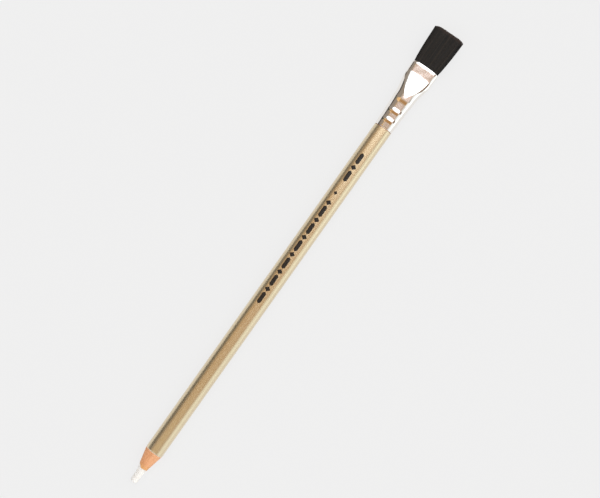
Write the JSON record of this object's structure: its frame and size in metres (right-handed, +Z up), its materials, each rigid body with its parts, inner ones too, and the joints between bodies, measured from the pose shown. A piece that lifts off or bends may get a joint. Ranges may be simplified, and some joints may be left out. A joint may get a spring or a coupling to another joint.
{
  "type": "eraser pencil with brush",
  "caption": "Round wooden eraser pencil: white rubber core in a glued, lacquered casing with a sharpened cone, and a flat black brush in a beaded metal ferrule.",
  "frame": {"origin": "middle of the pencil's length, under its axis, on the surface it lies on", "axes": "+X along the pencil towards the brush, +Z up through the brush's broad side"},
  "size_m": [0.2094, 0.0129, 0.0074],
  "materials": {
    "eraser_rubber": "matt white vulcanised rubber",
    "left_slat_wood": "bare sharpened wood",
    "right_slat_wood": "bare sharpened wood, a little paler",
    "glue": "dried wood glue",
    "lacquer": "champagne gold pearl lacquer, glossy",
    "ferrule_metal": "bright nickel-plated sheet metal",
    "resin": "set amber resin",
    "bristle": "black bristle, faint sheen"
  },
  "bodies": {
    "root": {"eraser_core": "eraser_rubber", "left_slat": "left_slat_wood", "right_slat": "right_slat_wood", "glue_line": "glue", "lacquer_coat": "lacquer", "ferrule": "ferrule_metal", "resin_plug": "resin", "bristles": "bristle"}
  },
  "joints": []
}
